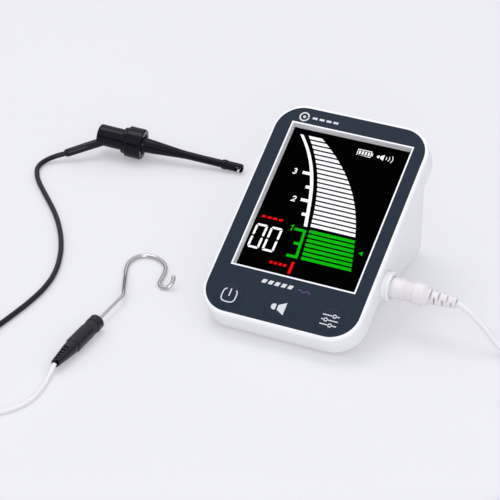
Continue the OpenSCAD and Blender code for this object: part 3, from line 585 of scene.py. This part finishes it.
def make_key(name, place):
    """A key's cap with a flat raised top, and the stem under it."""
    upright = Matrix.Rotation(math.radians(-90), 4, "Y")
    at_key = FACE @ Matrix.Translation((place * KEY_PITCH, KEY_V, 0)) @ upright
    profile = [(KEY_STEM_END, 0.02), (KEY_STEM_END, KEY_STEM_RADIUS), (KEY_CAP_BACK, KEY_STEM_RADIUS),
               (KEY_CAP_BACK, KEY_RADIUS - 0.1), (KEY_CAP_BACK + 0.1, KEY_RADIUS), (-0.03, KEY_RADIUS),
               (0.0, KEY_RADIUS - 0.03)]
    for step in range(9):
        slope = step / 8
        radius = KEY_RADIUS - 0.1 - (KEY_RADIUS - 0.1 - KEY_FLAT_RADIUS) * slope
        profile.append((KEY_TOP * eased(slope), radius))
    profile.append((KEY_TOP, 0.02))
    cap = add_piece(name + "_cap", turned(name + "_cap", profile, at_key), PANEL_SLATE, name)
    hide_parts(name)


def key_print(name, outlines, place):
    spots = [moved(outline, place * KEY_PITCH, KEY_V) for outline in outlines]
    mesh = plates(name + "_symbol", spots, KEY_TOP - 0.02, KEY_TOP + 0.02)
    add_piece(name + "_symbol", mesh, PRINT_WHITE, name)


def power_symbol():
    ring = []
    for angle in range(122, 419, 9):
        a = math.radians(angle)
        reach = 3.3 / (abs(math.cos(a)) ** 3.2 + abs(math.sin(a)) ** 3.2) ** (1 / 3.2)
        ring.append((reach * math.cos(a), reach * math.sin(a)))
    return [ribbon(ring, 0.55), ribbon([(0, 3.4), (0, -0.4)], 0.55)]


def speaker_symbol(scale=1.0):
    bulb = arc((-2.2, 0), 1.5, 60, 300, 14)
    horn = [(-0.6, -1.2), (2.9, -3.1), (2.9, 3.1), (-0.6, 1.2)]
    return [[(x * scale, y * scale) for x, y in outline] for outline in (bulb, horn)]


def settings_symbol():
    """Three sliders, each with its knob."""
    outlines = []
    for row, knob in ((2.3, 1.6), (0, -1.8), (-2.3, 0.9)):
        outlines.append(ribbon([(-3.9, row), (knob - 1.15, row)], 0.5))
        outlines.append(ribbon([(knob + 1.15, row), (3.9, row)], 0.5))
        outlines.append(ribbon(arc((knob, row), 0.75, 0, 345, 23), 0.45, closed=True))
    return outlines


make_key("power_key", -1)
make_key("volume_key", 0)
make_key("set_key", 1)
key_print("power_key", power_symbol(), -1)
key_print("volume_key", speaker_symbol(), 0)
key_print("set_key", settings_symbol(), 1)

# ---------- printing on the panel ----------


def on_panel(name, outlines, material):
    add_piece(name, plates(name, outlines, -0.02, 0.02), material, "display_unit")


def dash(u, v, width, height, slant=0.25):
    return moved([(0, 0), (width, 0), (width, height), (0, height)], u, v, slant)


on_panel("maker_mark", [ribbon(arc((-24.4, 49.3), 2.1, 0, 350, 35), 0.7, closed=True)]
         + [arc((-24.4, 49.3), 0.7, 0, 345, 23)]
         + [dash(-20.4 + 3.4 * k, 48.9, 2.4, 1.1, 0) for k in range(4)], PRINT_WHITE)
on_panel("model_mark", [dash(-12.4 + 3.1 * k, -36.4, 2.0, 1.9, 0.35) for k in range(5)],
         PRINT_WHITE)
on_panel("model_line", [ribbon([(5 + 0.5 * k, -36 + 0.5 * math.sin(0.9 * k)) for k in range(13)], 0.4)],
         PRINT_VIOLET)

# ---------- display ----------

SCREEN_DEPTH = 4.0
BAR_PITCH = 2.28
BAR_HEIGHT = 1.5
WHITE_BARS = 20
GREEN_BARS = 7
WHITE_FIRST = -2.5
GREEN_FIRST = -5.6
SCALE_LOW = -3.0
SCALE_HIGH = 42.2
SCALE_WIDTH = 1.6


def bars_left(v):
    return -2.88 - 0.1456 * v - 0.0034 * v ** 2 - 0.000071 * v ** 3


def bars_right(v):
    return 18.1 - 0.3189 * v - 0.00544 * v ** 2 - 0.000115 * v ** 3


def scale_u(v):
    return -5.41 - 0.2044 * v + 0.00011 * v ** 2 - 0.000133 * v ** 3


def on_screen(name, outlines, material):
    mesh = plates(name, outlines, -SCREEN_DEPTH + 0.005, -SCREEN_DEPTH + 0.03)
    add_piece(name, mesh, material, "display_unit")


def bar(low):
    high = low + BAR_HEIGHT
    return [(bars_left(low), low), (bars_right(low), low), (bars_right(high), high), (bars_left(high), high)]


def digit(shape, u, v, height):
    """A sloping digit of the scale, drawn as one line."""
    lines = {
        "1": [(0.12, 0.78), (0.45, 1), (0.45, 0)],
        "2": [(0.05, 0.78)] + arc((0.35, 0.72), 0.28, 155, -25, 8) + [(0.02, 0.05), (0.7, 0.05)],
        "3": arc((0.32, 0.76), 0.24, 160, -80, 8) + arc((0.32, 0.27), 0.29, 80, -160, 10),
    }
    line = [(x * height, y * height) for x, y in lines[shape]]
    return moved(ribbon(line, 0.18 * height), u, v, 0.08)


def seven_segment_zero(u, v, width, height, thick, gap, slant):
    """The six lit segments of a nought."""
    half = height / 2
    across = [(gap, thick / 2), (thick / 2 + gap, 0), (width - thick / 2 - gap, 0), (width - gap, thick / 2),
              (width - thick - gap, thick), (thick + gap, thick)]
    up = [(0, thick / 2 + gap), (thick, thick + gap), (thick, half - gap - thick / 2),
          (thick / 2, half - gap), (0, half - gap - thick / 2)]
    shapes = [across, [(x, height - y) for x, y in across]]
    for x_of in (lambda x: x, lambda x: width - x):
        for y_of in (lambda y: y, lambda y: height - y):
            shapes.append([(x_of(x), y_of(y)) for x, y in up])
    return [moved(shape, u, v, slant) for shape in shapes]


def make_display():
    white = [bar(WHITE_FIRST + BAR_PITCH * k) for k in range(WHITE_BARS)]
    # the scale's arc keeps its width across, so it narrows as it leans over towards its top
    heights = [SCALE_LOW + (SCALE_HIGH - SCALE_LOW) * k / 24 for k in range(25)]
    white.append([(scale_u(v) + SCALE_WIDTH / 2, v) for v in heights]
                 + [(scale_u(v) - SCALE_WIDTH / 2, v) for v in reversed(heights)])
    for v, length in ((23.3, 4.4), (16.5, 2.8), (9.7, 4.4), (2.8, 2.8)):
        white.append(ribbon([(scale_u(v), v), (scale_u(v) - length, v)], 1.5))
    white.append(digit("3", -20.8, 21.8, 2.6))
    white.append(digit("2", -16.1, 8.0, 2.6))
    white += seven_segment_zero(-27.1, -19.3, 5.7, 12.6, 1.05, 0.26, 0.02)
    white += seven_segment_zero(-20.0, -19.3, 5.7, 12.6, 1.05, 0.26, 0.02)
    # battery: case, cap and four cells
    white.append(ribbon([(4.5, 38.2), (11.0, 38.2), (11.0, 41.2), (4.5, 41.2)], 0.35, closed=True))
    white.append(dash(11.3, 39.0, 0.5, 1.4, 0))
    white += [dash(5.15 + 1.45 * k, 38.8, 0.85, 1.8, 0) for k in range(4)]
    # speaker with its waves
    white += [moved(outline, 15.8, 39.5) for outline in speaker_symbol(0.5)]
    white += [ribbon(arc((reach - radius, 39.5), radius, -45, 45, 8), 0.3)
              for reach, radius in ((18.6, 1.1), (20.0, 1.7), (21.5, 2.4))]
    on_screen("display_white", white, LIT_WHITE)

    green = [bar(GREEN_FIRST - BAR_PITCH * k) for k in range(GREEN_BARS)]
    green.append(ribbon([(-9.1, -5.3), (-4.3, -5.3), (-3.2, -18.7), (-7.9, -18.7)], 1.3))
    green.append(ribbon([(-4.2, -12.1), (-6.9, -12.1)], 1.3))
    green.append(digit("1", -11.8, -6.6, 2.9))
    green.append([(23.0, -9.6), (24.9, -10.7), (24.9, -8.5)])
    on_screen("display_green", green, LIT_GREEN)

    red = [dash(-4.2, -27.4, 1.3, 6.1, 0.0)]
    red += [dash(-26.2 + 2.8 * k, -3.3, 1.8, 1.1, 0.3) for k in range(4)]
    red += [dash(-14.1 + 2.2 * k, -24.6, 1.4, 1.3, 0.1) for k in range(4)]
    on_screen("display_red", red, LIT_RED)


make_display()

# ---------- floor and light ----------


def add_light(name, at, size, power, colour, aim=(0, 0, 0.02)):
    light = bpy.data.objects.new(name, bpy.data.lights.new(name, "AREA"))
    bpy.context.scene.collection.objects.link(light)
    light.data.shape = "DISK"
    light.data.size = size
    light.data.energy = power
    light.data.color = colour
    light.location = at
    light.rotation_euler = (Vector(aim) - Vector(at)).to_track_quat("-Z", "Y").to_euler()


FLOOR_GLOW = 0.27

# The dark band's edges and the full sky's start, as the sine of the height above the horizon
BAND_LOW = 0.12
BAND_HIGH = 0.26
SKY_FROM = 0.4
BAND_LIGHT = 0.12


def make_floor():
    """A plain pale floor with a weak light of its own, so that shadows on it stay faint."""
    half = 4.0
    mesh = bpy.data.meshes.new("floor")
    corners = [(-half, -half, 0), (half, -half, 0), (half, half, 0), (-half, half, 0)]
    mesh.from_pydata(corners, [], [(0, 1, 2, 3)])
    material = finish("floor", (0.52, 0.517, 0.545), 0.6, spread=0.01, patch=80, grain=1.5, depth=0.01,
                      specular=0.2)
    shader = material.node_tree.nodes["Principled BSDF"]
    shader.inputs["Emission Color"].default_value = (0.97, 0.965, 1.0, 1)
    shader.inputs["Emission Strength"].default_value = FLOOR_GLOW
    mesh.materials.append(material)
    floor = bpy.data.objects.new("floor", mesh)
    bpy.context.scene.collection.objects.link(floor)


def make_world():
    """A pale studio, with a dark band low down that the polished metal mirrors as dark lines."""
    world = bpy.data.worlds.new("studio")
    world.use_nodes = True
    tree = world.node_tree
    sky = tree.nodes["Background"]
    sky.inputs["Color"].default_value = (0.955, 0.96, 1.0, 1)
    where = tree.nodes.new("ShaderNodeTexCoord")
    split = tree.nodes.new("ShaderNodeSeparateXYZ")
    ramp = tree.nodes.new("ShaderNodeValToRGB")
    ramp.color_ramp.elements[0].position = 0.02
    ramp.color_ramp.elements[0].color = (0.8, 0.8, 0.8, 1)
    ramp.color_ramp.elements[1].position = 1.0
    ramp.color_ramp.elements[1].color = (1, 1, 1, 1)
    for height, strength in ((BAND_LOW, BAND_LIGHT), (BAND_HIGH, BAND_LIGHT), (SKY_FROM, 1.0)):
        ramp.color_ramp.elements.new(height).color = (strength, strength, strength, 1)
    tree.links.new(where.outputs["Generated"], split.inputs["Vector"])
    tree.links.new(split.outputs["Z"], ramp.inputs["Fac"])
    tree.links.new(ramp.outputs["Color"], sky.inputs["Strength"])
    bpy.context.scene.world = world
    bpy.context.scene.view_settings.view_transform = "Standard"


make_floor()
make_world()
add_light("key_light", (-0.55, 0.35, 1.5), 0.9, 5.5, (1.0, 0.99, 0.98))
add_light("front_fill", (0.7, -1.3, 0.7), 1.0, 7.5, (0.98, 0.985, 1.0))
